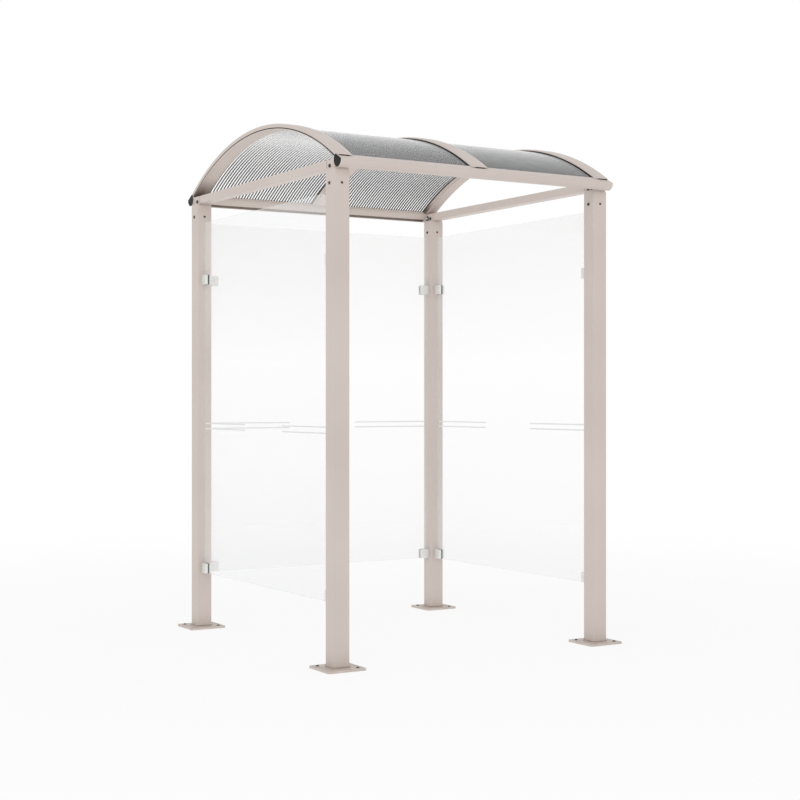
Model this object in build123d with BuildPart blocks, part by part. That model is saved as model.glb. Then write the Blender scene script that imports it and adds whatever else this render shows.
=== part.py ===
"""Open pay station shelter.

Four square posts stand on bolted base plates. Three clear panels hang in clamps between the posts
and leave the front open. Heads on the posts carry two eaves tubes and two side ties, and a barrel
vault of fluted sheets spans from tube to tube, held between three arches and their covers.

Lengths are in millimetres. +X runs from left to right seen from the open front, +Y to the back and
+Z up. The origin is on the ground, midway between the four posts.
"""
import os
from math import asin, cos, degrees, radians, sin

from build123d import *

os.makedirs("parts", exist_ok=True)

# Posts
post_pitch_x = 1428.0
post_pitch_y = 1472.0
post_side = 80.0
post_wall = 3.0
post_corner_radius = 7.0
post_top_height = 2190.0

# Base plates and their anchor holes
plate_side = 190.0
plate_thickness = 10.0
plate_corner_radius = 12.0
anchor_pitch = 130.0
anchor_hole_diameter = 14.0

# Eaves tubes with a sloping flat on top, a drain slot low on their inner side, and end caps
tube_diameter = 64.0
tube_wall = 3.0
tube_flat_offset = 16.0
tube_flat_angle = 28.0
tube_lift = 5.0
tube_outset = 62.0
tube_overhang = 30.0
drain_slot_width = 20.0
drain_slot_angle = 33.0
cap_thickness = 6.0
cap_edge_chamfer = 1.5
cap_plug_depth = 9.0

# Post heads: spigot in the post, plate on its top and an arm coped to the eaves tube
head_plate_side = 75.0
head_plate_thickness = 8.0
head_arm_inset = 45.0
spigot_depth = 90.0
spigot_wall = 5.0

# Side ties between the heads, and the head arms of the same section
tie_width = 60.0
tie_height = 40.0
tie_wall = 3.0
tie_corner_radius = 5.0

# Barrel vault: the covers' feet above the tubes' middle, and their crown above the feet
cover_foot_lift = 24.0
vault_rise = 236.0

# Arches under the sheets, covers over them and the seals between
arch_width = 60.0
arch_thickness = 6.0
seal_width = 4.0
seal_height = 5.0
outer_seal_height = 2.5
cover_width = 90.0
cover_flat_width = 55.0
cover_thickness = 2.0
cover_wing_drop = 3.0
cover_lip_depth = 4.0
cover_lip_thickness = 4.0

# Fluted roof sheets
sheet_thickness = 8.0
sheet_lap = 15.0
sheet_joint_gap = 8.0
sheet_entry_depth = 24.0
flute_pitch = 16.0
skin_thickness = 0.8
rib_thickness = 0.8

# Clear panels
glass_thickness = 8.0
glass_bottom_height = 287.0
glass_top_gap = 90.0
glass_side_gap = 10.0
glass_corner_radius = 6.0

# Panel clamps and their liners
clamp_reach = 51.0
clamp_height = 50.0
clamp_thickness = 34.0
clamp_back = 8.0
clamp_edge_radius = 4.0
upper_clamp_inset = 297.0
lower_clamp_inset = 25.0
liner_thickness = 1.0

# Clearance of slip fits and coped seats, and overrun of cuts past a face
fit_clearance = 0.3
cut_overrun = 5.0

# Places worked out from the sizes above
post_x = post_pitch_x / 2
post_y = post_pitch_y / 2
post_half = post_side / 2
tube_radius = tube_diameter / 2
tube_y = post_y + tube_outset
tube_z = post_top_height + tube_lift + tube_radius
tube_end_x = post_x + tube_overhang
arm_bottom_z = post_top_height + head_plate_thickness
vault_radius = (tube_y**2 + vault_rise**2) / (2 * vault_rise)
vault_centre_z = tube_z + cover_foot_lift + vault_rise - vault_radius
vault_half_angle = degrees(asin(tube_y / vault_radius))
cover_wing_radius = vault_radius - cover_wing_drop
seal_top_radius = cover_wing_radius - cover_lip_depth
sheet_top_radius = seal_top_radius - seal_height
arch_top_radius = sheet_top_radius - sheet_thickness
arch_bottom_radius = arch_top_radius - arch_thickness
outer_lip_radius = arch_top_radius + outer_seal_height
glass_top_height = post_top_height - glass_top_gap
clamp_heights = (glass_bottom_height + lower_clamp_inset, glass_top_height - upper_clamp_inset)

columns = {"left": -1, "right": 1}
rows = {"front": -1, "back": 1}
arch_places = {"left": -post_x, "middle": 0.0, "right": post_x}


def save(piece, name):
    """Label a finished piece and write its file."""
    piece.part.label = name
    export_step(piece.part, f"parts/{name}.step")


def vault_plane(x, half_angle=vault_half_angle):
    """Section plane at the vault's back foot: local X across the vault, local Y outwards."""
    angle = radians(half_angle)
    return Plane(
        origin=(x, 0, vault_centre_z),
        x_dir=(1, 0, 0),
        z_dir=(0, -cos(angle), sin(angle)),
    )


def strip(centre, width, low_radius, high_radius):
    """Rectangle of a vault section, given across by centre and width and outwards by radii."""
    with Locations((centre, (low_radius + high_radius) / 2)):
        Rectangle(width, high_radius - low_radius)


def bend_over_vault(half_angle=vault_half_angle, mode=Mode.ADD):
    """Turn the pending section about the vault's axis, from the back foot to the front foot."""
    axis = Axis((0, 0, vault_centre_z), (1, 0, 0))
    revolve(axis=axis, revolution_arc=2 * half_angle, mode=mode)


def tube_section(x, side, inset=0):
    """Section of an eaves tube at x: a circle with a sloping flat on its upper outer side."""
    angle = radians(tube_flat_angle)
    flat = tube_flat_offset - inset
    plane = Plane(origin=(x, side * tube_y, tube_z), x_dir=(0, 1, 0), z_dir=(1, 0, 0))
    with BuildSketch(plane) as section:
        Circle(tube_radius - inset)
        with Locations((side * flat * sin(angle), flat * cos(angle))):
            Rectangle(
                2 * tube_diameter,
                tube_diameter,
                rotation=-side * tube_flat_angle,
                align=(Align.CENTER, Align.MIN),
                mode=Mode.SUBTRACT,
            )
    return section.sketch


def cut_tube_space(x, side, width):
    """Cut away the space of an eaves tube with its clearance, over a width about x."""
    section = tube_section(x - width / 2, side, -fit_clearance)
    extrude(section, amount=width, mode=Mode.SUBTRACT)


def make_post(x, y):
    """Square tube from the base plate to the head."""
    with BuildPart() as post:
        with BuildSketch(Plane.XY.offset(plate_thickness)):
            with Locations((x, y)):
                RectangleRounded(post_side, post_side, post_corner_radius)
                inner = post_side - 2 * post_wall
                RectangleRounded(inner, inner, post_corner_radius - post_wall, mode=Mode.SUBTRACT)
        extrude(amount=post_top_height - plate_thickness)
    return post


def make_base_plate(x, y):
    """Square foot with one anchor hole in each corner."""
    with BuildPart() as plate:
        with BuildSketch():
            with Locations((x, y)):
                RectangleRounded(plate_side, plate_side, plate_corner_radius)
                with GridLocations(anchor_pitch, anchor_pitch, 2, 2):
                    Circle(anchor_hole_diameter / 2, mode=Mode.SUBTRACT)
        extrude(amount=plate_thickness)
    return plate


def make_post_head(x, side):
    """Spigot, top plate and arm; the arm's end is coped to the tube and shaped under the arch."""
    y = side * post_y
    spigot_side = post_side - 2 * post_wall - 2 * fit_clearance
    arm_inner_y = side * (post_y - head_arm_inset)
    arm_outer_y = side * tube_y
    with BuildPart() as head:
        with BuildSketch(Plane.XY.offset(post_top_height - spigot_depth)):
            with Locations((x, y)):
                RectangleRounded(spigot_side, spigot_side, post_corner_radius - post_wall)
                hollow = spigot_side - 2 * spigot_wall
                Rectangle(hollow, hollow, mode=Mode.SUBTRACT)
        extrude(amount=spigot_depth)
        with BuildSketch(Plane.XY.offset(post_top_height)):
            with Locations((x, y)):
                RectangleRounded(head_plate_side, head_plate_side, post_corner_radius)
        extrude(amount=head_plate_thickness)
        with BuildSketch(Plane.XZ.offset(-arm_inner_y)):
            with Locations((x, arm_bottom_z + tie_height / 2)):
                RectangleRounded(tie_width, tie_height, tie_corner_radius)
        extrude(amount=arm_inner_y - arm_outer_y)
        cut_tube_space(x, side, post_side)
        with BuildSketch(vault_plane(x)):
            strip(0, post_side, arch_bottom_radius - fit_clearance, vault_radius + tube_diameter)
        bend_over_vault(mode=Mode.SUBTRACT)
    return head


def make_tie(x):
    """Side tie, a rectangular tube between the arms of two heads."""
    half_length = post_y - head_arm_inset
    with BuildPart() as tie:
        with BuildSketch(Plane.XZ.offset(-half_length)):
            with Locations((x, arm_bottom_z + tie_height / 2)):
                RectangleRounded(tie_width, tie_height, tie_corner_radius)
                RectangleRounded(
                    tie_width - 2 * tie_wall,
                    tie_height - 2 * tie_wall,
                    tie_corner_radius - tie_wall,
                    mode=Mode.SUBTRACT,
                )
        extrude(amount=2 * half_length)
    return tie


def make_eaves_tube(side):
    """Flat-topped tube, slotted along its upper inner side for the sheets and below for drainage."""
    drain_half_length = post_x - post_half
    with BuildPart() as tube:
        extrude(tube_section(-tube_end_x, side), amount=2 * tube_end_x)
        extrude(tube_section(-tube_end_x, side, tube_wall), amount=2 * tube_end_x, mode=Mode.SUBTRACT)
        with BuildSketch(vault_plane(0)):
            strip(
                0,
                2 * (tube_end_x + cut_overrun),
                arch_top_radius - fit_clearance,
                sheet_top_radius + fit_clearance,
            )
        bend_over_vault(mode=Mode.SUBTRACT)
        with BuildSketch(Plane.YZ.offset(-drain_half_length)):
            with Locations((side * tube_y, tube_z)):
                Rectangle(
                    drain_slot_width,
                    tube_diameter,
                    rotation=-side * drain_slot_angle,
                    align=(Align.CENTER, Align.MAX),
                )
        extrude(amount=2 * drain_half_length, mode=Mode.SUBTRACT)
    return tube


def make_tube_cap(column_side, side):
    """Black cap: a chamfered plate on the tube's end and a short plug inside it."""
    end_x = column_side * tube_end_x
    plug_inset = tube_wall + fit_clearance
    with BuildPart() as cap:
        extrude(tube_section(end_x, side), amount=column_side * cap_thickness)
        outer_face = cap.faces().filter_by(Axis.X).sort_by(Axis.X)[-1 if column_side > 0 else 0]
        chamfer(outer_face.edges(), cap_edge_chamfer)
        extrude(tube_section(end_x, side, plug_inset), amount=-column_side * cap_plug_depth)
    return cap


def make_arch(x):
    """Flat bow under the sheets, its feet coped to the eaves tubes."""
    with BuildPart() as arch:
        with BuildSketch(vault_plane(x)):
            strip(0, arch_width, arch_bottom_radius, arch_top_radius)
        bend_over_vault()
        for side in rows.values():
            cut_tube_space(x, side, 2 * arch_width)
    return arch


def cover_edge(outer):
    """Right side of a cover's section, from its top outwards and back along its underside.

    A wing ends in a lip on the sheet's seal. At an outer edge a deep lip stands on the arch's seal.
    """
    under_radius = vault_radius - cover_thickness
    if outer:
        edge = arch_width / 2
        inner = edge - cover_lip_thickness
        return [
            (edge, vault_radius),
            (edge, outer_lip_radius),
            (inner, outer_lip_radius),
            (inner, under_radius),
        ]
    edge = cover_width / 2
    inner = edge - cover_lip_thickness
    flat_edge = cover_flat_width / 2
    return [
        (flat_edge, vault_radius),
        (edge, cover_wing_radius),
        (edge, seal_top_radius),
        (inner, seal_top_radius),
        (inner, cover_wing_radius - cover_thickness),
        (flat_edge, under_radius),
    ]


def make_cover(x):
    """Channel over the sheets' edges; its feet lie over the tubes' flats, open under the middle."""
    right_edge = cover_edge(x > 0)
    left_edge = [(-across, radius) for across, radius in reversed(cover_edge(x < 0))]
    with BuildPart() as cover:
        with BuildSketch(vault_plane(x)):
            with BuildLine():
                Polyline(right_edge + left_edge, close=True)
            make_face()
        bend_over_vault()
        for side in rows.values():
            cut_tube_space(x, side, 2 * cover_width)
    return cover


def make_seals(x):
    """Black strips under both edges of a cover: on the sheet, or on the arch at an outer edge."""
    with BuildPart() as seals:
        with BuildSketch(vault_plane(x)):
            for side in columns.values():
                if side * x > 0:
                    place = side * (arch_width - seal_width) / 2
                    strip(place, seal_width, arch_top_radius, outer_lip_radius)
                else:
                    place = side * (cover_width - seal_width) / 2
                    strip(place, seal_width, sheet_top_radius, seal_top_radius)
        bend_over_vault()
        for side in rows.values():
            cut_tube_space(x, side, 2 * cover_width)
    return seals


def make_sheet(side):
    """Roof sheet of one bay: two skins joined by ribs, with hollow flutes that follow the vault."""
    inner_x = sheet_joint_gap / 2
    outer_x = post_x + sheet_lap
    centre = side * (inner_x + outer_x) / 2
    middle_radius = (arch_top_radius + sheet_top_radius) / 2
    end_y = tube_y - tube_radius + sheet_entry_depth
    half_angle = degrees(asin(end_y / middle_radius))
    flute_count = int((outer_x - inner_x - rib_thickness) // flute_pitch)
    flute_width = flute_pitch - rib_thickness
    flute_height = sheet_thickness - 2 * skin_thickness
    with BuildPart() as sheet:
        with BuildSketch(vault_plane(0, half_angle)):
            strip(centre, outer_x - inner_x, arch_top_radius, sheet_top_radius)
            with Locations((centre, middle_radius)):
                with GridLocations(flute_pitch, 0, flute_count, 1):
                    Rectangle(flute_width, flute_height, mode=Mode.SUBTRACT)
        bend_over_vault(half_angle)
    return sheet


def panel_width(pitch):
    """Width of a clear panel between two posts a pitch apart."""
    return pitch - post_side - 2 * glass_side_gap


def make_panel(plane, pitch):
    """Clear panel; the plane lies in its middle, with local Y up from the ground."""
    height = glass_top_height - glass_bottom_height
    with BuildPart() as panel:
        with BuildSketch(plane.offset(-glass_thickness / 2)):
            with Locations((0, (glass_bottom_height + glass_top_height) / 2)):
                RectangleRounded(panel_width(pitch), height, glass_corner_radius)
        extrude(amount=glass_thickness)
    return panel


def make_clamps(plane, pitch, side):
    """Two clamps on one post face, each slotted for the panel's edge."""
    face = side * (pitch / 2 - post_half)
    slot_width = glass_thickness + 2 * liner_thickness
    with BuildPart() as clamps:
        for height in clamp_heights:
            with BuildSketch(plane.offset(-clamp_thickness / 2)):
                with Locations((face - side * clamp_reach / 2, height)):
                    Rectangle(clamp_reach, clamp_height)
            extrude(amount=clamp_thickness)
        end_place = face - side * clamp_reach
        free_ends = [f for f in clamps.faces() if is_free_end(f, plane, end_place)]
        fillet([edge for end in free_ends for edge in end.edges()], clamp_edge_radius)
        with BuildSketch(plane.offset(-slot_width / 2)):
            slot_length = clamp_reach - clamp_back + cut_overrun
            middle = face - side * (clamp_back + slot_length / 2)
            for height in clamp_heights:
                with Locations((middle, height)):
                    Rectangle(slot_length, clamp_height + 2 * cut_overrun)
        extrude(amount=slot_width, mode=Mode.SUBTRACT)
    return clamps


def is_free_end(face, plane, place):
    """True for the end face of a clamp that looks away from its post."""
    local_centre = plane.to_local_coords(face.center())
    return abs(local_centre.X - place) < fit_clearance


def make_liners(plane, pitch):
    """Rubber channels between a panel's edges and its clamps."""
    outer = glass_thickness + 2 * liner_thickness
    liner_length = clamp_reach - clamp_back - clamp_edge_radius
    with BuildPart() as liners:
        for side in columns.values():
            face = side * (pitch / 2 - post_half)
            for height in clamp_heights:
                with BuildSketch(plane.offset(-outer / 2)):
                    with Locations((face - side * (clamp_back + liner_length / 2), height)):
                        Rectangle(liner_length, clamp_height)
                extrude(amount=outer)
        with BuildSketch(plane.offset(-glass_thickness / 2)):
            with Locations((0, (glass_bottom_height + glass_top_height) / 2)):
                Rectangle(panel_width(pitch), glass_top_height)
        extrude(amount=glass_thickness, mode=Mode.SUBTRACT)
    return liners


# Posts, base plates, heads and tube caps at the four corners
for row, row_side in rows.items():
    for column, column_side in columns.items():
        corner_x = column_side * post_x
        corner_y = row_side * post_y
        save(make_post(corner_x, corner_y), f"{row}_{column}_post")
        save(make_base_plate(corner_x, corner_y), f"{row}_{column}_base_plate")
        save(make_post_head(corner_x, row_side), f"{row}_{column}_post_head")
        save(make_tube_cap(column_side, row_side), f"{row}_{column}_tube_cap")

# Eaves tubes and side ties
for row, row_side in rows.items():
    save(make_eaves_tube(row_side), f"{row}_eaves_tube")
for column, column_side in columns.items():
    save(make_tie(column_side * post_x), f"{column}_tie")

# Vault
for place, arch_x in arch_places.items():
    save(make_arch(arch_x), f"{place}_arch")
    save(make_cover(arch_x), f"{place}_arch_cover")
    save(make_seals(arch_x), f"{place}_arch_seals")
for column, column_side in columns.items():
    save(make_sheet(column_side), f"{column}_roof_sheet")

# Clear panels with their clamps and liners; local X of a panel's plane runs along the panel
panels = {
    "left": (Plane(origin=(-post_x, 0, 0), x_dir=(0, 1, 0), z_dir=(1, 0, 0)), post_pitch_y),
    "right": (Plane(origin=(post_x, 0, 0), x_dir=(0, 1, 0), z_dir=(1, 0, 0)), post_pitch_y),
    "back": (Plane(origin=(0, post_y, 0), x_dir=(1, 0, 0), z_dir=(0, -1, 0)), post_pitch_x),
}
edge_names = {
    "left": {"front": -1, "back": 1},
    "right": {"front": -1, "back": 1},
    "back": {"left": -1, "right": 1},
}
for panel_name, (panel_plane, panel_pitch) in panels.items():
    save(make_panel(panel_plane, panel_pitch), f"{panel_name}_panel")
    save(make_liners(panel_plane, panel_pitch), f"{panel_name}_panel_liners")
    for edge, edge_side in edge_names[panel_name].items():
        save(make_clamps(panel_plane, panel_pitch, edge_side), f"{panel_name}_panel_{edge}_clamps")
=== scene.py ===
"""Looks of an open pay station shelter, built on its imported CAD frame.

The frame's nodes keep their meshes and get procedural materials. The script adds the small pieces that
the frame leaves out: screws, bolts and nuts, weld seams, joints of the side ties, plugs under the covers'
feet, gaskets at the roof's ends, lips along the covers, trims and beads at the roof sheets' edges and the
panels' printed lines.

Lengths are in metres. +X runs from left to right seen from the open front, +Y to the back and +Z up.
"""

from math import acos, asin, atan2, cos, hypot, pi, radians, sin

import bmesh
import bpy
from mathutils import Matrix, Vector


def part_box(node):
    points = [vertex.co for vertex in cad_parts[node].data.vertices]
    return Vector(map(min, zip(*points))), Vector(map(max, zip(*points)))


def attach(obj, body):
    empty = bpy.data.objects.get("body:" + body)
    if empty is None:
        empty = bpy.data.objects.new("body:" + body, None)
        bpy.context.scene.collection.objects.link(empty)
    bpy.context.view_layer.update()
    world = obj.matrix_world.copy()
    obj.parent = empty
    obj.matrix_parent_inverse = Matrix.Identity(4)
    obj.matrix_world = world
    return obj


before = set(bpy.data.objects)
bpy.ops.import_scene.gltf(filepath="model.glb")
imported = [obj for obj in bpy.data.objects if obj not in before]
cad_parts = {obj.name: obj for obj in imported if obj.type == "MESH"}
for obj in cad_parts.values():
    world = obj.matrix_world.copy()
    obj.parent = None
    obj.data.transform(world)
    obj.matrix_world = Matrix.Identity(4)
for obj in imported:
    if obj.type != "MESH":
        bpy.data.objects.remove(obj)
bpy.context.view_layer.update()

# Camera, solved from the photograph's post edges
CAMERA_PLACE = (-3.959, -6.655, 1.181)
CAMERA_TURN = -31.06
CAMERA_LENS = 69.17
CAMERA_SENSOR = 36.0
CAMERA_REACH = 200.0

# Colours, as linear red, green and blue
PAINT_LIGHT = (0.608, 0.533, 0.490, 1.0)
PAINT_DARK = (0.568, 0.493, 0.452, 1.0)
PLATE_LIGHT = (0.605, 0.533, 0.490, 1.0)
PLATE_DARK = (0.500, 0.428, 0.386, 1.0)
# Colour of a painted shade at the vault's feet, for the shade in the corners by the eaves tubes
PAINTED_FOOT_SHADE = (0.15, 0.112, 0.092, 1.0)
# Weld tones, darker than the frame paint: a painted shade along the posts' feet
WELD_LIGHT = (0.38, 0.305, 0.265, 1.0)
WELD_DARK = (0.29, 0.225, 0.190, 1.0)
BLACK_LIGHT = (0.009, 0.008, 0.008, 1.0)
BLACK_DARK = (0.004, 0.004, 0.004, 1.0)
RUBBER_LIGHT = (0.018, 0.015, 0.013, 1.0)
RUBBER_DARK = (0.009, 0.008, 0.007, 1.0)
CLAMP_LIGHT = (0.84, 0.84, 0.82, 1.0)
CLAMP_DARK = (0.70, 0.70, 0.68, 1.0)
STEEL_LIGHT = (0.12, 0.105, 0.095, 1.0)
STEEL_DARK = (0.05, 0.043, 0.040, 1.0)
PRINT_LIGHT = (0.80, 0.805, 0.805, 1.0)
PRINT_DARK = (0.74, 0.745, 0.745, 1.0)
# Pale tone of the skins' haze and of their painted reflection
SKIN_HAZE_AND_PAINTED_REFLECTION_TONE = (0.80, 0.805, 0.805, 1.0)
# Near-black tones of the clear ribs, a painted shade
RIB_LIGHT = (0.022, 0.0225, 0.0225, 1.0)
RIB_DARK = (0.012, 0.0122, 0.0122, 1.0)
GLASS_FACE = (0.855, 0.86, 0.86, 1.0)
GLASS_EDGE = (0.48, 0.60, 0.58, 1.0)

# Finishes: scale of the tone's noise, limits of roughness, and scale and strength of the grain
PAINT_FINISH = {"scale": 2.5, "rough": (0.38, 0.50), "grain": (1400.0, 0.06)}
PLATE_FINISH = {"scale": 25.0, "rough": (0.45, 0.60), "grain": (1200.0, 0.10)}
WELD_FINISH = {"scale": 30.0, "rough": (0.40, 0.55), "grain": (900.0, 0.20)}
CAP_FINISH = {"scale": 90.0, "rough": (0.30, 0.48), "grain": (1800.0, 0.10), "specular": 0.10}
RUBBER_FINISH = {"scale": 60.0, "rough": (0.60, 0.80), "grain": (1500.0, 0.15), "specular": 0.15}
STEEL_FINISH = {"scale": 220.0, "rough": (0.25, 0.45), "grain": (1600.0, 0.08), "metallic": 0.7}
PRINT_FINISH = {"scale": 40.0, "rough": (0.50, 0.65), "grain": (2000.0, 0.05)}
CLAMP_FINISH = {"scale": 900.0, "rough": (0.32, 0.46), "strength": 0.12, "metallic": 0.35}
NOISE_LIMITS = (0.3, 0.7)
GLOSS_FINENESS = 4
GRAIN_DETAIL = 2.0
GRAIN_DEPTH = 0.0005
BRUSH_DEPTH = 0.0002
BRUSH_STRETCH = (1.0, 1.0, 0.08)
FACE_LIMIT = 0.7
CAP_RIM_LIMIT = 0.35

# Painted shades at the vault's feet, for the shade in the corners by the eaves tubes: distances from the
# vault's middle at which they start and are full
ARCH_PAINTED_FOOT_SHADE = (0.61, 0.77)
RIGHT_TRIM_PAINTED_FOOT_SHADE = (0.665, 0.75)

# Twin-wall sheets, with covers from 0 for clear to 1
SKIN_HAZE = (0.002, 0.012)
SKIN_HAZE_SCALE = 6.0
# The skins' painted reflection, which grows at a low angle
SKIN_PAINTED_REFLECTION = (0.01, 0.90)
SKIN_PAINTED_REFLECTION_POWER = 5.0
# Painted shade on the ribs: nearly clear at the crown and opaque towards the feet
RIB_PAINTED_SHADE_COVER = (0.10, 0.99)
RIB_PAINTED_SHADE_COVER_RANGE = (0.12, 0.62)
RIB_TONE_SCALE = 4.0
RIB_PITCH = 0.016
RIB_ROOT = 0.0009
SHEET_ROUGHNESS = 0.12
SHEET_SPECULAR = 0.10

# Panels, with the covers of a painted reflection at shares of their height, strongest at the top and foot
GLASS_PAINTED_REFLECTION = ((0.00, 0.200), (0.30, 0.090), (0.60, 0.030), (0.95, 0.195))
GLASS_PAINTED_REFLECTION_HEIGHTS = (0.28, 2.10)
GLASS_EDGE_COVER = 0.35
GLASS_SMEAR_SCALE = 3.0
GLASS_ROUGHNESS = (0.02, 0.06)

# Small pieces
SHARP_ANGLE = 40.0
HEAD_HEIGHT_SHARE = 0.62
HEAD_PROFILE_SHARES = ((1.0, 0.0), (1.0, 0.25), (0.93, 0.60), (0.78, 0.88), (0.62, 1.0))
SOCKET_SHARE = 0.52
SOCKET_FLOOR_SHARE = 0.35
SIDE_SCREW_RADIUS = 0.0075
FRONT_SCREW_RADIUS = 0.0055
POST_SCREW_DROP = 0.059
ARM_BOLT_RADIUS = 0.0072
ARM_BOLT_INSET = 0.016
ARM_BOLT_HEIGHT = 0.011
WASHER_RADIUS = 0.0095
WASHER_THICKNESS = 0.0012
WASHER_PROFILE_SHARES = ((1.0, 0.0), (1.0, 0.7), (0.96, 1.0))
NUT_RADIUS = 0.0055
NUT_COLLAR_SHARE = 0.45
NUT_DOME_SHARE = 0.88
NUT_DOME_LEVEL_SHARE = 0.55
NUT_DOME_TURNS = (0, 15, 30, 45, 60, 75, 85)
NUT_WASHER_RADIUS = 0.0135
NUT_OUTSET = 0.0145
NUT_HEIGHT = 0.014
ARCH_SCREW_RADIUS = 0.005
ARCH_SCREW_OFFSET = 0.020
ARCH_SCREW_PLACE = 0.670
CLAMP_SCREW_RADIUS = 0.0040
ANCHOR_PITCH = 0.130
ANCHOR_RADIUS = 0.0072
POST_CORNER = 0.007
WELD_LEG = 0.006
WELD_RIPPLE_SHARES = ((0.10, 2.1), (0.06, 0.7))
WELD_SLOPE_SHARES = ((0.42, 0.60), (0.72, 0.30))
WELD_SHARP_ANGLE = 60.0
TIE_CORNER = 0.005
SEAM_WIDTH = 0.0024
SEAM_HEIGHT = 0.0003
PLUG_WIDTH = 0.050
PLUG_LENGTH = 0.010
PLUG_HEIGHT = 0.0030
PLUG_SETBACK = -0.0040
PLUG_DROP = 0.0021
TRIM_WIDTH = 0.017
TRIM_THICKNESS = 0.002
TRIM_CLEARANCE = 0.0001
BEND_STEPS = 72
GASKET_HEIGHT = 0.0035
GASKET_REACH = 0.0006
LIP_WIDTH = 0.0045
LIP_HEIGHT = 0.0030
LIP_CLEARANCE = 0.0002
BEAD_WIDTH = 0.008
BEAD_THICKNESS = 0.0015
LINE_HEIGHTS = (1.060, 1.033)
LINE_WIDTH = 0.0065
LINE_THICKNESS = 0.0004
LINE_GAP = 0.400
LINE_EDGE_MARGIN = 0.012
SUNK = 0.001

# Stage
FLOOR_RADIUS = 60.0
FLOOR_SEGMENTS = 96
FLOOR_DROP = 0.0005
FLOOR_COLOUR = (0.96, 0.96, 0.96, 1.0)
FLOOR_WHITE_SHARE = 0.78
FLOOR_FADE = (1.0, 7.0)
SKY_HORIZON = (1.0, 1.0, 1.0, 1.0)
SKY_MIDDLE = (0.96, 0.96, 0.96, 1.0)
SKY_MIDDLE_HEIGHT = 0.35
SKY_ZENITH = (0.64, 0.64, 0.65, 1.0)
SKY_STRENGTH = 1.0
KEY_PLACE = (-3.5, -5.0, 6.0)
KEY_SIZE = 5.0
KEY_POWER = 60.0
CLEAR_BOUNCES = 64


# Materials


def new_material(name):
    """Empty node material with a Principled shader; returns the material, its tree and the shader."""
    material = bpy.data.materials.new(name)
    material.use_nodes = True
    tree = material.node_tree
    tree.nodes.clear()
    output = tree.nodes.new("ShaderNodeOutputMaterial")
    shader = tree.nodes.new("ShaderNodeBsdfPrincipled")
    tree.links.new(shader.outputs["BSDF"], output.inputs["Surface"])
    return material, tree, shader


def noise(tree, scale, detail=3.0, stretch=(1.0, 1.0, 1.0)):
    """Noise over the object's own coordinates, in metres; a stretch below 1 lengthens it that way."""
    place = tree.nodes.new("ShaderNodeTexCoord")
    mapping = tree.nodes.new("ShaderNodeMapping")
    mapping.inputs["Scale"].default_value = stretch
    texture = tree.nodes.new("ShaderNodeTexNoise")
    texture.inputs["Scale"].default_value = scale
    texture.inputs["Detail"].default_value = detail
    tree.links.new(place.outputs["Object"], mapping.inputs["Vector"])
    tree.links.new(mapping.outputs["Vector"], texture.inputs["Vector"])
    return texture.outputs["Fac"]


def ramp(tree, value, stops):
    """Colour ramp with (place, colour) stops over a value."""
    node = tree.nodes.new("ShaderNodeValToRGB")
    elements = node.color_ramp.elements
    while len(elements) < len(stops):
        elements.new(0.5)
    for element, (place, colour) in zip(elements, stops):
        element.position = place
        element.color = colour
    tree.links.new(value, node.inputs["Fac"])
    return node.outputs["Color"]


def map_range(tree, value, low, high, new_low, new_high, smooth_ends=False):
    """Value carried over from one range to another."""
    node = tree.nodes.new("ShaderNodeMapRange")
    if smooth_ends:
        node.interpolation_type = "SMOOTHSTEP"
    node.inputs["From Min"].default_value = low
    node.inputs["From Max"].default_value = high
    node.inputs["To Min"].default_value = new_low
    node.inputs["To Max"].default_value = new_high
    tree.links.new(value, node.inputs["Value"])
    return node.outputs["Result"]


def two_tone(tree, wander, dark, light):
    """Colour that wanders between two tones with a noise."""
    start, end = NOISE_LIMITS
    return ramp(tree, wander, [(start, dark), (end, light)])


def wandering(tree, wander, limits):
    """Value that wanders between two limits with a noise."""
    return map_range(tree, wander, *NOISE_LIMITS, *limits)


def bump(tree, shader, height, strength, distance):
    """Bump on a shader's normal from a height."""
    node = tree.nodes.new("ShaderNodeBump")
    node.inputs["Strength"].default_value = strength
    node.inputs["Distance"].default_value = distance
    tree.links.new(height, node.inputs["Height"])
    tree.links.new(node.outputs["Normal"], shader.inputs["Normal"])


def feed(tree, socket, value):
    """Link a socket to an input, or set the input to a number or colour."""
    if isinstance(value, bpy.types.NodeSocket):
        tree.links.new(value, socket)
    else:
        socket.default_value = value


def maths(tree, operation, first, second=0.0):
    """Maths node over two sockets or numbers."""
    node = tree.nodes.new("ShaderNodeMath")
    node.operation = operation
    feed(tree, node.inputs[0], first)
    feed(tree, node.inputs[1], second)
    return node.outputs["Value"]


def blend(tree, share, first, second):
    """Colour between two colours or sockets, by a share."""
    node = tree.nodes.new("ShaderNodeMix")
    node.data_type = "RGBA"
    feed(tree, node.inputs[0], share)
    feed(tree, node.inputs[6], first)
    feed(tree, node.inputs[7], second)
    return node.outputs[2]


def axis_value(tree, source, axis):
    """X, Y or Z of the surface's normal ("Normal") or place ("Position")."""
    geometry = tree.nodes.new("ShaderNodeNewGeometry")
    split = tree.nodes.new("ShaderNodeSeparateXYZ")
    tree.links.new(geometry.outputs[source], split.inputs["Vector"])
    return split.outputs[axis]


def axis_share(tree, source, axis):
    """Absolute X, Y or Z of the surface's normal or place."""
    return maths(tree, "ABSOLUTE", axis_value(tree, source, axis))


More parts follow.
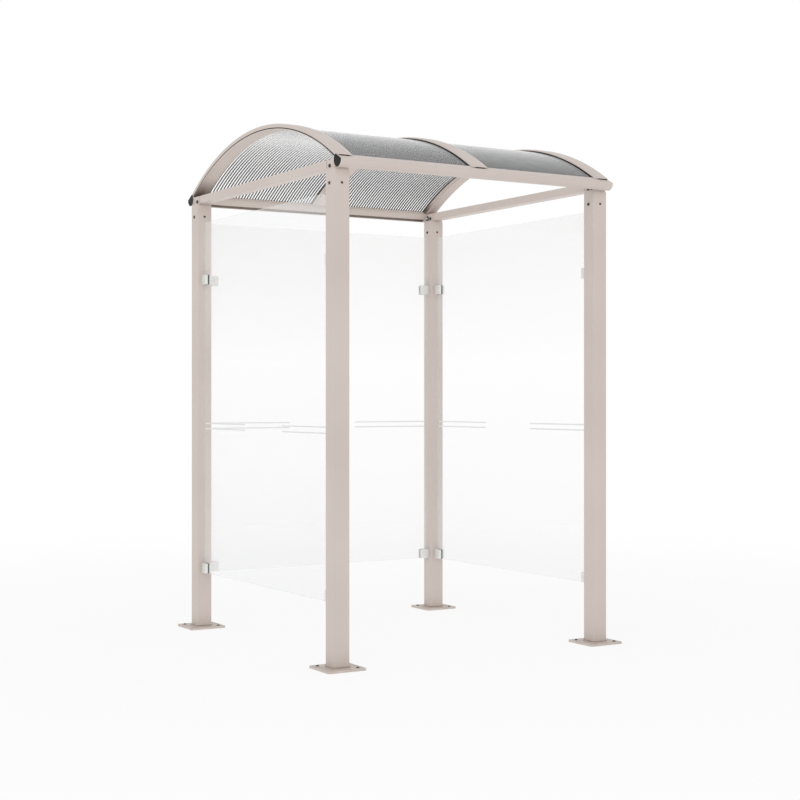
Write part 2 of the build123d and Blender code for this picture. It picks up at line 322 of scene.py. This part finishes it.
def mottled(name, light, dark, scale, rough, grain, metallic=0.0, specular=0.5, painted_foot_shade=None):
    """Solid finish whose tone and gloss wander a little, with a fine surface grain.

    A painted shade, standing in for the shade in the corners by the eaves tubes, darkens it towards the
    vault's feet, over a range of the distance from the middle.
    """
    material, tree, shader = new_material(name)
    tone = two_tone(tree, noise(tree, scale), dark, light)
    if painted_foot_shade:
        start, end = painted_foot_shade
        # Painted shade: darker towards the vault's feet
        depth = map_range(tree, axis_share(tree, "Position", "Y"), start, end, 0.0, 1.0, smooth_ends=True)
        tone = blend(tree, depth, tone, PAINTED_FOOT_SHADE)
    tree.links.new(tone, shader.inputs["Base Color"])
    gloss = noise(tree, scale * GLOSS_FINENESS)
    tree.links.new(wandering(tree, gloss, rough), shader.inputs["Roughness"])
    grain_scale, grain_strength = grain
    bump(tree, shader, noise(tree, grain_scale, GRAIN_DETAIL), grain_strength, GRAIN_DEPTH)
    shader.inputs["Metallic"].default_value = metallic
    shader.inputs["Specular IOR Level"].default_value = specular
    return material


def cap_plastic(name, scale, rough, grain, specular):
    """Black end plate with a rim in the frame's paint."""
    material, tree, shader = new_material(name)
    is_rim = maths(tree, "LESS_THAN", axis_share(tree, "Normal", "X"), CAP_RIM_LIMIT)
    wander = noise(tree, scale)
    black = two_tone(tree, wander, BLACK_DARK, BLACK_LIGHT)
    tree.links.new(blend(tree, is_rim, black, PAINT_LIGHT), shader.inputs["Base Color"])
    tree.links.new(wandering(tree, wander, rough), shader.inputs["Roughness"])
    grain_scale, grain_strength = grain
    bump(tree, shader, noise(tree, grain_scale, GRAIN_DETAIL), grain_strength, GRAIN_DEPTH)
    shader.inputs["Specular IOR Level"].default_value = specular
    return material


def brushed(name, light, dark, scale, rough, strength, metallic):
    """Satin cast metal with faint upright brushing."""
    material, tree, shader = new_material(name)
    grain = noise(tree, scale, GRAIN_DETAIL, stretch=BRUSH_STRETCH)
    tree.links.new(two_tone(tree, grain, dark, light), shader.inputs["Base Color"])
    tree.links.new(wandering(tree, grain, rough), shader.inputs["Roughness"])
    bump(tree, shader, grain, strength, BRUSH_DEPTH)
    shader.inputs["Metallic"].default_value = metallic
    return material


def vault_circle(name):
    """Centre height and outer radius of a bent piece of the vault, from its crown and its end."""
    points = [vertex.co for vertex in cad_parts[name].data.vertices]
    crown = max(point.z for point in points)
    end = max(points, key=lambda point: point.y)
    drop = crown - end.z
    radius = (end.y**2 + drop**2) / (2 * drop)
    return crown - radius, radius


def fluted_sheet(name):
    """Twin-wall sheet: skins with a painted reflection of their surroundings that grows at a low angle, and
    ribs in a painted shade that clears at the crown.

    The sheets mirror each other, so that a rib's root on the skins is found by the distance from the middle.
    """
    material, tree, shader = new_material(name)
    low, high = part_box("right_roof_sheet")
    across = maths(tree, "SUBTRACT", axis_share(tree, "Position", "X"), (low.x + high.x) / 2)
    flute = maths(tree, "PINGPONG", maths(tree, "DIVIDE", across, RIB_PITCH), 0.5)
    is_root = maths(tree, "GREATER_THAN", flute, 0.5 - RIB_ROOT / RIB_PITCH)
    is_face = maths(tree, "GREATER_THAN", axis_share(tree, "Normal", "X"), FACE_LIMIT)
    is_rib = maths(tree, "MAXIMUM", is_face, is_root)
    rib_tone = two_tone(tree, noise(tree, RIB_TONE_SCALE), RIB_DARK, RIB_LIGHT)
    tree.links.new(blend(tree, is_rib, SKIN_HAZE_AND_PAINTED_REFLECTION_TONE, rib_tone), shader.inputs["Base Color"])
    haze = wandering(tree, noise(tree, SKIN_HAZE_SCALE), SKIN_HAZE)
    # Painted reflection: the skins turn pale and opaque at a low angle
    weight = tree.nodes.new("ShaderNodeLayerWeight")
    slant = maths(tree, "POWER", weight.outputs["Facing"], SKIN_PAINTED_REFLECTION_POWER)
    mirror = map_range(tree, slant, 0.0, 1.0, *SKIN_PAINTED_REFLECTION)
    skin_cover = maths(tree, "ADD", haze, mirror)
    # Painted shade: the ribs turn opaque towards the feet
    painted_rib_shade = map_range(tree, axis_share(tree, "Position", "Y"), *RIB_PAINTED_SHADE_COVER_RANGE, *RIB_PAINTED_SHADE_COVER)
    is_skin = maths(tree, "SUBTRACT", 1.0, is_rib)
    skin_part = maths(tree, "MULTIPLY", is_skin, skin_cover)
    rib_part = maths(tree, "MULTIPLY", is_rib, painted_rib_shade)
    tree.links.new(maths(tree, "ADD", skin_part, rib_part), shader.inputs["Alpha"])
    shader.inputs["Roughness"].default_value = SHEET_ROUGHNESS
    shader.inputs["Specular IOR Level"].default_value = SHEET_SPECULAR
    return material


def panel_glass(name, face_axis):
    """Panel that faces X or Y: clear, with a pale painted reflection at its top and foot and pale green
    edges.
    """
    material, tree, shader = new_material(name)
    # Painted reflection, strongest towards the panel's top and foot
    height = map_range(tree, axis_value(tree, "Position", "Z"), *GLASS_PAINTED_REFLECTION_HEIGHTS, 0.0, 1.0)
    painted_reflection = ramp(tree, height, [(place, (cover, cover, cover, 1.0)) for place, cover in GLASS_PAINTED_REFLECTION])
    is_edge = maths(tree, "LESS_THAN", axis_share(tree, "Normal", face_axis), FACE_LIMIT)
    edge_cover = maths(tree, "MULTIPLY", is_edge, GLASS_EDGE_COVER)
    tree.links.new(maths(tree, "ADD", painted_reflection, edge_cover), shader.inputs["Alpha"])
    tree.links.new(blend(tree, is_edge, GLASS_FACE, GLASS_EDGE), shader.inputs["Base Color"])
    smear = noise(tree, GLASS_SMEAR_SCALE)
    tree.links.new(wandering(tree, smear, GLASS_ROUGHNESS), shader.inputs["Roughness"])
    return material


paint = mottled("frame_paint", PAINT_LIGHT, PAINT_DARK, **PAINT_FINISH)
# Frame paints with a painted shade towards the vault's feet
arch_paint_with_painted_shade = mottled("arch_paint_with_painted_shade", PAINT_LIGHT, PAINT_DARK, **PAINT_FINISH, painted_foot_shade=ARCH_PAINTED_FOOT_SHADE)
end_paint_with_painted_shade = mottled("end_paint_with_painted_shade", PAINT_LIGHT, PAINT_DARK, **PAINT_FINISH, painted_foot_shade=RIGHT_TRIM_PAINTED_FOOT_SHADE)
plate_paint = mottled("plate_paint", PLATE_LIGHT, PLATE_DARK, **PLATE_FINISH)
weld_paint_with_painted_shade = mottled("weld_paint_with_painted_shade", WELD_LIGHT, WELD_DARK, **WELD_FINISH)
plastic = cap_plastic("black_plastic", **CAP_FINISH)
rubber = mottled("black_rubber", RUBBER_LIGHT, RUBBER_DARK, **RUBBER_FINISH)
clamp_metal = brushed("clamp_metal", CLAMP_LIGHT, CLAMP_DARK, **CLAMP_FINISH)
screw_steel = mottled("screw_steel", STEEL_LIGHT, STEEL_DARK, **STEEL_FINISH)
print_grey = mottled("print_grey", PRINT_LIGHT, PRINT_DARK, **PRINT_FINISH)
sheet_material = fluted_sheet("roof_sheet")
side_glass = panel_glass("side_panel_glass", "X")
back_glass = panel_glass("back_panel_glass", "Y")


def set_material(thing, material):
    """Give an object one material in place of what it had."""
    thing.data.materials.clear()
    thing.data.materials.append(material)


def node_material(name):
    """Material of a frame node, by its name."""
    if name.endswith("_roof_sheet"):
        return sheet_material
    if name == "back_panel":
        return back_glass
    if name.endswith("_panel"):
        return side_glass
    if name.endswith("_clamps"):
        return clamp_metal
    if name.endswith("_tube_cap"):
        return plastic
    if name.endswith(("_seals", "_liners")):
        return rubber
    if name.endswith("_base_plate"):
        return plate_paint
    # The left arch gets a painted shade towards its feet
    if name == "left_arch":
        return arch_paint_with_painted_shade
    return paint


for node_name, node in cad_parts.items():
    set_material(node, node_material(node_name))
    if node_name.endswith(("_roof_sheet", "_panel")):
        # Clear sheets let the light through
        node.visible_shadow = False
        node.visible_diffuse = False


# Pieces

ROWS = ("front", "back")
COLUMNS = ("left", "right")
CORNERS = [(row, column) for row in ROWS for column in COLUMNS]
ARCHES = ("left", "middle", "right")
SHEET_SIDES = {"left": (1,), "middle": (-1, 1), "right": (-1,)}


def add_piece(name, bm, material, sharp_angle=SHARP_ANGLE):
    """New piece from a filled bmesh, smooth but for its sharp edges, on the frame's one body."""
    bmesh.ops.recalc_face_normals(bm, faces=bm.faces)
    mesh = bpy.data.meshes.new(name)
    bm.to_mesh(mesh)
    bm.free()
    mesh.shade_smooth()
    mesh.set_sharp_from_angle(angle=radians(sharp_angle))
    piece = bpy.data.objects.new(name, mesh)
    bpy.context.scene.collection.objects.link(piece)
    set_material(piece, material)
    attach(piece, "root")


def facing(place, direction):
    """Matrix that carries local +Z to a direction, at a place."""
    return Matrix.Translation(place) @ Vector(direction).to_track_quat("Z", "Y").to_matrix().to_4x4()


def lying(place, along, up):
    """Matrix that carries local X and Y to two directions, at a place."""
    x_axis, y_axis = Vector(along), Vector(up)
    turn = Matrix((x_axis, y_axis, x_axis.cross(y_axis))).transposed()
    return Matrix.Translation(place) @ turn.to_4x4()


def bridge(bm, lower, upper):
    """Quads between two closed rings of vertices."""
    count = len(lower)
    for i in range(count):
        j = (i + 1) % count
        bm.faces.new((lower[i], lower[j], upper[j], upper[i]))


def close_ends(bm, rings):
    """Bridge rings one after another and close the first and last with a face."""
    for lower, upper in zip(rings, rings[1:]):
        bridge(bm, lower, upper)
    bm.faces.new(rings[-1])
    bm.faces.new(list(reversed(rings[0])))


def add_socket_screw(bm, matrix, radius, segments=24):
    """Button head with a hexagon socket, on local +Z."""
    socket = radius * SOCKET_SHARE
    height = radius * HEAD_HEIGHT_SHARE
    profile = [(radius * out, height * up) for out, up in HEAD_PROFILE_SHARES]
    angles = [2 * pi * i / segments for i in range(segments)]

    def ring(level, radius_at):
        return [
            bm.verts.new(matrix @ Vector((radius_at(a) * cos(a), radius_at(a) * sin(a), level)))
            for a in angles
        ]

    def hexagon(a):
        return socket * cos(pi / 6) / cos((a % (pi / 3)) - pi / 6)

    rings = [ring(level, lambda a, r=r: r) for r, level in profile]
    rings.append(ring(height, hexagon))
    rings.append(ring(height * SOCKET_FLOOR_SHARE, hexagon))
    close_ends(bm, rings)


def add_turned(bm, matrix, profile, segments=32):
    """Turned piece from (radius, level) places along its profile, on local +Z."""
    turns = [2 * pi * i / segments for i in range(segments)]
    rings = []
    for radius, level in profile:
        places = [Vector((radius * cos(turn), radius * sin(turn), level)) for turn in turns]
        rings.append([bm.verts.new(matrix @ place) for place in places])
    close_ends(bm, rings)


def add_washer(bm, matrix, radius):
    """Flat washer with a broken edge."""
    profile = [(radius * out, WASHER_THICKNESS * up) for out, up in WASHER_PROFILE_SHARES]
    add_turned(bm, matrix, profile)


def add_dome_nut(bm, matrix, radius):
    """Dome nut: a collar under a round cap."""
    dome_radius = radius * NUT_DOME_SHARE
    dome_level = radius * NUT_DOME_LEVEL_SHARE
    turns = [radians(degrees) for degrees in NUT_DOME_TURNS]
    collar = [(radius, 0.0), (radius, radius * NUT_COLLAR_SHARE)]
    dome = [(dome_radius * cos(turn), dome_level + dome_radius * sin(turn)) for turn in turns]
    add_turned(bm, matrix, collar + dome)


def add_strip(bm, matrix, length, width, thickness, steps=8):
    """Flat strip with round ends: length along local X, width along local Y, thickness up local Z."""
    radius = width / 2
    outline = []
    for end in (1, -1):
        for step in range(steps + 1):
            angle = pi * (step / steps - end / 2)
            outline.append((end * (length / 2 - radius) + radius * cos(angle), radius * sin(angle)))
    rings = []
    for level in (0.0, thickness):
        rings.append([bm.verts.new(matrix @ Vector((x, y, level))) for x, y in outline])
    close_ends(bm, rings)


def rounded_loop(half_a, half_b, radius, corner_steps=4, side_steps=14):
    """Stations round a rectangle with round corners: the centre of each turn and its outward angle."""
    signs = ((1, 1), (-1, 1), (-1, -1), (1, -1))
    corners = [(a * (half_a - radius), b * (half_b - radius)) for a, b in signs]
    stations = []
    for quarter, (a, b) in enumerate(corners):
        start = quarter * pi / 2
        for step in range(corner_steps + 1):
            stations.append((a, b, start + step / corner_steps * pi / 2))
        next_a, next_b = corners[(quarter + 1) % 4]
        for step in range(1, side_steps):
            share = step / side_steps
            stations.append((a + (next_a - a) * share, b + (next_b - b) * share, start + pi / 2))
    return stations


def add_bead(bm, matrix, stations, radius, profile_at):
    """Bead that runs round stations: its profile gives outward and local Z places at each station."""
    rings = []
    for i, (a, b, angle) in enumerate(stations):
        ring = []
        for out, up in profile_at(i):
            reach = radius + out
            ring.append(bm.verts.new(matrix @ Vector((a + reach * cos(angle), b + reach * sin(angle), up))))
        rings.append(ring)
    for first, second in zip(rings, rings[1:] + rings[:1]):
        bridge(bm, first, second)


def make_post_screws():
    """Screws through each post into its head's spigot, one on each face."""
    for row, column in CORNERS:
        low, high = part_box(f"{row}_{column}_post")
        centre = (low + high) / 2
        half = (high.x - low.x) / 2
        bm = bmesh.new()
        for dx, dy in ((1, 0), (-1, 0), (0, 1), (0, -1)):
            place = Vector((centre.x + dx * half, centre.y + dy * half, high.z - POST_SCREW_DROP))
            radius = SIDE_SCREW_RADIUS if dx else FRONT_SCREW_RADIUS
            add_socket_screw(bm, facing(place, (dx, dy, 0)), radius)
        add_piece(f"{row}_{column}_post_screws", bm, screw_steel)


def make_anchor_bolts():
    """Anchor bolts in two opposite corners of each base plate."""
    for row, column in CORNERS:
        low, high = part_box(f"{row}_{column}_base_plate")
        centre = (low + high) / 2
        bm = bmesh.new()
        for dx, dy in ((-1, 1), (1, -1)):
            offset = Vector((dx * ANCHOR_PITCH / 2, dy * ANCHOR_PITCH / 2, high.z - centre.z))
            add_socket_screw(bm, Matrix.Translation(centre + offset), ANCHOR_RADIUS)
        add_piece(f"{row}_{column}_anchor_bolts", bm, screw_steel)


def make_arm_bolts():
    """Bolts with washers through each head's arm, and dome nuts on dark washers on its inner side, which are
    partly a painted shade round the nuts.
    """
    for row, column in CORNERS:
        post_low, post_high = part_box(f"{row}_{column}_post")
        post_y = (post_low.y + post_high.y) / 2
        inward = 1 if row == "front" else -1
        tie_low, tie_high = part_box(f"{column}_tie")
        z = tie_low.z + ARM_BOLT_HEIGHT
        sides = [(-1, tie_low.x), (1, tie_high.x)]
        bm = bmesh.new()
        for side, x in sides:
            matrix = facing((x, post_y + inward * ARM_BOLT_INSET, z), (side, 0, 0))
            add_washer(bm, matrix, WASHER_RADIUS)
            add_socket_screw(bm, matrix @ Matrix.Translation((0, 0, WASHER_THICKNESS)), ARM_BOLT_RADIUS)
        add_piece(f"{row}_{column}_arm_bolts", bm, screw_steel)

        side, x = sides[1] if column == "left" else sides[0]
        matrix = facing((x, post_y - inward * NUT_OUTSET, tie_low.z + NUT_HEIGHT), (side, 0, 0))
        # The dark washer is a real part and partly a painted shade round the nut
        bm = bmesh.new()
        add_washer(bm, matrix, NUT_WASHER_RADIUS)
        add_piece(f"{row}_{column}_nut_washer", bm, rubber)
        bm = bmesh.new()
        add_dome_nut(bm, matrix @ Matrix.Translation((0, 0, WASHER_THICKNESS)), NUT_RADIUS)
        add_piece(f"{row}_{column}_dome_nut", bm, clamp_metal)


def make_tie_joints():
    """Dark joints where the side ties meet the arms of the post heads."""
    profile = [
        (-SUNK, -SEAM_WIDTH / 2),
        (SEAM_HEIGHT, -SEAM_WIDTH / 4),
        (SEAM_HEIGHT, SEAM_WIDTH / 4),
        (-SUNK, SEAM_WIDTH / 2),
    ]
    for column in COLUMNS:
        low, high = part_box(f"{column}_tie")
        centre = (low + high) / 2
        stations = rounded_loop((high.x - low.x) / 2, (high.z - low.z) / 2, TIE_CORNER)
        for row, y in (("front", low.y), ("back", high.y)):
            bm = bmesh.new()
            matrix = lying((centre.x, y, centre.z), (1, 0, 0), (0, 0, 1))
            add_bead(bm, matrix, stations, TIE_CORNER, lambda i: profile)
            add_piece(f"{row}_{column}_tie_joint", bm, rubber)


def make_arch_screws():
    """Screws in the middle arch's underside by its feet."""
    points = [vertex.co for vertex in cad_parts["middle_arch"].data.vertices]
    centre_z, _ = vault_circle("middle_arch_cover")
    radius = min(hypot(point.y, point.z - centre_z) for point in points)
    bm = bmesh.new()
    for row in (-1, 1):
        y = row * ARCH_SCREW_PLACE
        z = centre_z + (radius**2 - y**2) ** 0.5
        for column in (-1, 1):
            place = Vector((column * ARCH_SCREW_OFFSET, y, z))
            add_socket_screw(bm, facing(place, (0, -y, centre_z - z)), ARCH_SCREW_RADIUS)
    add_piece("middle_arch_screws", bm, screw_steel)


def make_cover_plugs():
    """Rubber plugs in the slits between the covers' feet and the eaves tubes, which also stand in for the
    shadow in the slits.
    """
    for arch in ARCHES:
        low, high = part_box(f"{arch}_arch")
        _, cover_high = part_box(f"{arch}_arch_cover")
        centre_z, radius = vault_circle(f"{arch}_arch_cover")
        angle = asin(cover_high.y / radius) - (PLUG_SETBACK + PLUG_LENGTH / 2) / radius
        level = radius - PLUG_DROP - PLUG_HEIGHT
        bm = bmesh.new()
        for row in (-1, 1):
            outward = Vector((0, row * sin(angle), cos(angle)))
            place = Vector(((low.x + high.x) / 2, 0, centre_z)) + level * outward
            along = Vector((row, 0, 0))
            matrix = lying(place, along, outward.cross(along))
            add_strip(bm, matrix, PLUG_WIDTH, PLUG_LENGTH, PLUG_HEIGHT)
        add_piece(f"{arch}_cover_plugs", bm, rubber)


def tube_angle(row, centre_z, radius):
    """Angle from the crown at which a circle round the vault's axis runs into an eaves tube."""
    low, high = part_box(f"{row}_eaves_tube")
    tube_radius = (high.y - low.y) / 2
    tube_y = abs(low.y + high.y) / 2
    tube_rise = low.z + tube_radius - centre_z
    reach = hypot(tube_y, tube_rise)
    spread = acos((radius**2 + reach**2 - tube_radius**2) / (2 * radius * reach))
    return atan2(tube_y, tube_rise) - spread


def sheet_radii():
    """Height of the vault's axis, and radii of the roof sheets' undersides and upper sides."""
    centre_z, _ = vault_circle("middle_arch_cover")
    points = [vertex.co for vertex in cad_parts["left_roof_sheet"].data.vertices]
    radii = [hypot(point.y, point.z - centre_z) for point in points]
    return centre_z, min(radii), max(radii)


def add_bent_bar(bm, section, centre_z, first, last):
    """Bar bent round the vault's axis from one angle to another, with (x, radius) places in its section."""
    rings = []
    for step in range(BEND_STEPS + 1):
        turn = first + (last - first) * step / BEND_STEPS
        rings.append([bm.verts.new((x, r * sin(turn), centre_z + r * cos(turn))) for x, r in section])
    close_ends(bm, rings)


def make_sheet_trims():
    """Bent trims along the arches, under the edges of the roof sheets."""
    centre_z, underside, _ = sheet_radii()
    top = underside - TRIM_CLEARANCE
    bottom = top - TRIM_THICKNESS
    first = -tube_angle("front", centre_z, bottom)
    last = tube_angle("back", centre_z, bottom)
    # The trims by the end arches get a painted shade towards the vault's feet
    trim_paints = {"left": arch_paint_with_painted_shade, "middle": paint, "right": end_paint_with_painted_shade}
    for arch, sides in SHEET_SIDES.items():
        low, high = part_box(f"{arch}_arch")
        bm = bmesh.new()
        for side in sides:
            near = high.x if side > 0 else low.x
            far = near + side * TRIM_WIDTH
            section = [(near, bottom), (far, bottom), (far, top), (near, top)]
            add_bent_bar(bm, section, centre_z, first, last)
        add_piece(f"{arch}_sheet_trims", bm, trim_paints[arch])


def make_end_gaskets():
    """Gaskets on the outer ends of the roof, between the end covers' lips and the arches."""
    centre_z, seam, _ = sheet_radii()
    bottom, top = seam - GASKET_HEIGHT / 2, seam + GASKET_HEIGHT / 2
    first = -tube_angle("front", centre_z, seam)
    last = tube_angle("back", centre_z, seam)
    for arch, side in (("left", -1), ("right", 1)):
        low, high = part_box(f"{arch}_arch")
        face = high.x if side > 0 else low.x
        near, far = face - side * SUNK, face + side * GASKET_REACH
        section = [(near, bottom), (far, bottom), (far, top), (near, top)]
        bm = bmesh.new()
        add_bent_bar(bm, section, centre_z, first, last)
        add_piece(f"{arch}_end_gasket", bm, rubber)


def make_cover_lips():
    """Rubber lips that lie on the roof sheets along the covers' edges, and also stand in for the shadow the
    covers cast on the sheets.
    """
    centre_z, _, upper_side = sheet_radii()
    bottom = upper_side + LIP_CLEARANCE
    top = bottom + LIP_HEIGHT
    first = -tube_angle("front", centre_z, bottom)
    last = tube_angle("back", centre_z, bottom)
    for arch, sides in SHEET_SIDES.items():
        low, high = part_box(f"{arch}_arch_cover")
        bm = bmesh.new()
        for side in sides:
            near = (high.x if side > 0 else low.x) + side * LIP_CLEARANCE
            far = near + side * LIP_WIDTH
            section = [(near, bottom), (far, bottom), (near, top)]
            add_bent_bar(bm, section, centre_z, first, last)
        add_piece(f"{arch}_cover_lips", bm, rubber)


def make_sheet_beads():
    """Beads along the eaves tubes, under the ends of the roof sheets."""
    centre_z, underside, _ = sheet_radii()
    level = underside - TRIM_CLEARANCE - BEAD_THICKNESS
    boxes = [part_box(f"{arch}_arch") for arch in ARCHES]
    spans = [(left_high.x, right_low.x) for (_, left_high), (right_low, _) in zip(boxes, boxes[1:])]
    for row, sign in (("front", -1), ("back", 1)):
        angle = tube_angle(row, centre_z, level) - BEAD_WIDTH / 2 / level
        outward = Vector((0, sign * sin(angle), cos(angle)))
        along = Vector((sign, 0, 0))
        bm = bmesh.new()
        for start, end in spans:
            place = Vector(((start + end) / 2, 0, centre_z)) + level * outward
            matrix = lying(place, along, outward.cross(along))
            add_strip(bm, matrix, end - start, BEAD_WIDTH, BEAD_THICKNESS)
        add_piece(f"{row}_sheet_beads", bm, paint)


def make_clamp_screws():
    """Screws that press each clamp's two cheeks together."""
    for name in sorted(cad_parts):
        if not name.endswith("_clamps"):
            continue
        low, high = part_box(name)
        centre = (low + high) / 2
        heights = [vertex.co.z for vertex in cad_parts[name].data.vertices]
        half_height = (high.z - min(z for z in heights if z > centre.z)) / 2
        across_x = (high.x - low.x) < (high.y - low.y)
        bm = bmesh.new()
        for z in (low.z + half_height, high.z - half_height):
            for side, end in ((-1, low), (1, high)):
                place = (end.x, centre.y, z) if across_x else (centre.x, end.y, z)
                direction = (side, 0, 0) if across_x else (0, side, 0)
                add_socket_screw(bm, facing(place, direction), CLAMP_SCREW_RADIUS)
        add_piece(f"{name[:-1]}_screws", bm, clamp_metal)


def make_welds():
    """Painted weld seam round each post's foot, with the ripple of a hand weld, in a darker tone that is a
    painted shade along the joint.
    """

    def profile(i):
        leg = WELD_LEG * (1 + sum(share * sin(i * pace) for share, pace in WELD_RIPPLE_SHARES))
        slope = [(leg * out, leg * up) for out, up in WELD_SLOPE_SHARES]
        return [(-SUNK, leg), *slope, (leg, -SUNK / 2), (-SUNK, -SUNK / 2)]

    for row, column in CORNERS:
        low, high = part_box(f"{row}_{column}_post")
        centre = (low + high) / 2
        stations = rounded_loop((high.x - low.x) / 2, (high.y - low.y) / 2, POST_CORNER)
        bm = bmesh.new()
        add_bead(bm, Matrix.Translation((centre.x, centre.y, low.z)), stations, POST_CORNER, profile)
        add_piece(f"{row}_{column}_weld", bm, weld_paint_with_painted_shade, WELD_SHARP_ANGLE)


def make_panel_lines():
    """Two printed lines across each panel's left or front face, left open in the middle."""
    for name, along in (("left_panel", "y"), ("right_panel", "y"), ("back_panel", "x")):
        low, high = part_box(name)
        start = getattr(low, along) + LINE_EDGE_MARGIN
        end = getattr(high, along) - LINE_EDGE_MARGIN
        bm = bmesh.new()
        for z in LINE_HEIGHTS:
            for first, last in ((start, -LINE_GAP / 2), (LINE_GAP / 2, end)):
                place = Vector((low.x, low.y, z))
                setattr(place, along, (first + last) / 2)
                direction = (0, -1, 0) if along == "y" else (1, 0, 0)
                matrix = lying(place, direction, (0, 0, 1))
                add_strip(bm, matrix, last - first, LINE_WIDTH, LINE_THICKNESS)
        add_piece(f"{name}_lines", bm, print_grey)


make_post_screws()
make_anchor_bolts()
make_arm_bolts()
make_tie_joints()
make_arch_screws()
make_cover_plugs()
make_sheet_trims()
make_end_gaskets()
make_cover_lips()
make_sheet_beads()
make_clamp_screws()
make_welds()
make_panel_lines()


# Stage


def seen_rays(tree):
    """1 for rays from the camera, from gloss and through glass, and 0 for rays that light."""
    path = tree.nodes.new("ShaderNodeLightPath")
    seen = maths(tree, "MAXIMUM", path.outputs["Is Camera Ray"], path.outputs["Is Glossy Ray"])
    return maths(tree, "MAXIMUM", seen, path.outputs["Is Transmission Ray"])


def floor_white():
    """Pale floor finish that keeps a soft shadow near the object and runs into the white far from it."""
    material = bpy.data.materials.new("floor_white")
    material.use_nodes = True
    tree = material.node_tree
    tree.nodes.clear()
    output = tree.nodes.new("ShaderNodeOutputMaterial")
    lit = tree.nodes.new("ShaderNodeBsdfDiffuse")
    lit.inputs["Color"].default_value = FLOOR_COLOUR
    white = tree.nodes.new("ShaderNodeEmission")
    white.inputs["Strength"].default_value = 1.0
    place = tree.nodes.new("ShaderNodeTexCoord")
    distance = tree.nodes.new("ShaderNodeVectorMath")
    distance.operation = "LENGTH"
    tree.links.new(place.outputs["Object"], distance.inputs[0])
    fade = map_range(tree, distance.outputs["Value"], *FLOOR_FADE, FLOOR_WHITE_SHARE, 1.0, smooth_ends=True)
    mix = tree.nodes.new("ShaderNodeMixShader")
    tree.links.new(maths(tree, "MULTIPLY", fade, seen_rays(tree)), mix.inputs["Fac"])
    tree.links.new(lit.outputs["BSDF"], mix.inputs[1])
    tree.links.new(white.outputs["Emission"], mix.inputs[2])
    tree.links.new(mix.outputs["Shader"], output.inputs["Surface"])
    return material


def make_floor():
    """Round floor that takes the object's shadow."""
    bm = bmesh.new()
    bmesh.ops.create_circle(bm, cap_ends=True, radius=FLOOR_RADIUS, segments=FLOOR_SEGMENTS)
    mesh = bpy.data.meshes.new("floor")
    bm.to_mesh(mesh)
    bm.free()
    floor = bpy.data.objects.new("floor", mesh)
    bpy.context.scene.collection.objects.link(floor)
    floor.location.z = -FLOOR_DROP
    # The floor blocks no light, so that the surroundings light the object's undersides
    floor.visible_diffuse = False
    floor.visible_shadow = False
    set_material(floor, floor_white())


def make_world():
    """White surroundings for the camera and reflections, dimmer overhead as a light."""
    world = bpy.data.worlds.new("studio")
    bpy.context.scene.world = world
    world.use_nodes = True
    tree = world.node_tree
    tree.nodes.clear()
    output = tree.nodes.new("ShaderNodeOutputWorld")
    light = tree.nodes.new("ShaderNodeBackground")
    light.inputs["Strength"].default_value = SKY_STRENGTH
    white = tree.nodes.new("ShaderNodeBackground")
    white.inputs["Color"].default_value = (1.0, 1.0, 1.0, 1.0)
    white.inputs["Strength"].default_value = 1.0
    place = tree.nodes.new("ShaderNodeTexCoord")
    split = tree.nodes.new("ShaderNodeSeparateXYZ")
    tree.links.new(place.outputs["Generated"], split.inputs["Vector"])
    stops = [(0.0, SKY_HORIZON), (SKY_MIDDLE_HEIGHT, SKY_MIDDLE), (1.0, SKY_ZENITH)]
    tree.links.new(ramp(tree, split.outputs["Z"], stops), light.inputs["Color"])
    mix = tree.nodes.new("ShaderNodeMixShader")
    tree.links.new(seen_rays(tree), mix.inputs["Fac"])
    tree.links.new(light.outputs["Background"], mix.inputs[1])
    tree.links.new(white.outputs["Background"], mix.inputs[2])
    tree.links.new(mix.outputs["Shader"], output.inputs["Surface"])


def make_key_light():
    """Broad soft light from the front left, for a gentle shadow on the floor."""
    light = bpy.data.lights.new("key", "AREA")
    light.shape = "DISK"
    light.size = KEY_SIZE
    light.energy = KEY_POWER
    key = bpy.data.objects.new("key", light)
    key.matrix_world = facing(KEY_PLACE, KEY_PLACE)
    bpy.context.scene.collection.objects.link(key)


def make_camera():
    """Camera at the photograph's place, level and without shift."""
    data = bpy.data.cameras.new("camera")
    data.lens = CAMERA_LENS
    data.sensor_width = CAMERA_SENSOR
    data.clip_end = CAMERA_REACH
    camera = bpy.data.objects.new("camera", data)
    camera.location = CAMERA_PLACE
    camera.rotation_euler = (radians(90), 0, radians(CAMERA_TURN))
    bpy.context.scene.collection.objects.link(camera)
    bpy.context.scene.camera = camera


make_floor()
make_world()
make_key_light()
make_camera()
bpy.context.scene.view_settings.view_transform = "Standard"
bpy.context.scene.cycles.transparent_max_bounces = CLEAR_BOUNCES
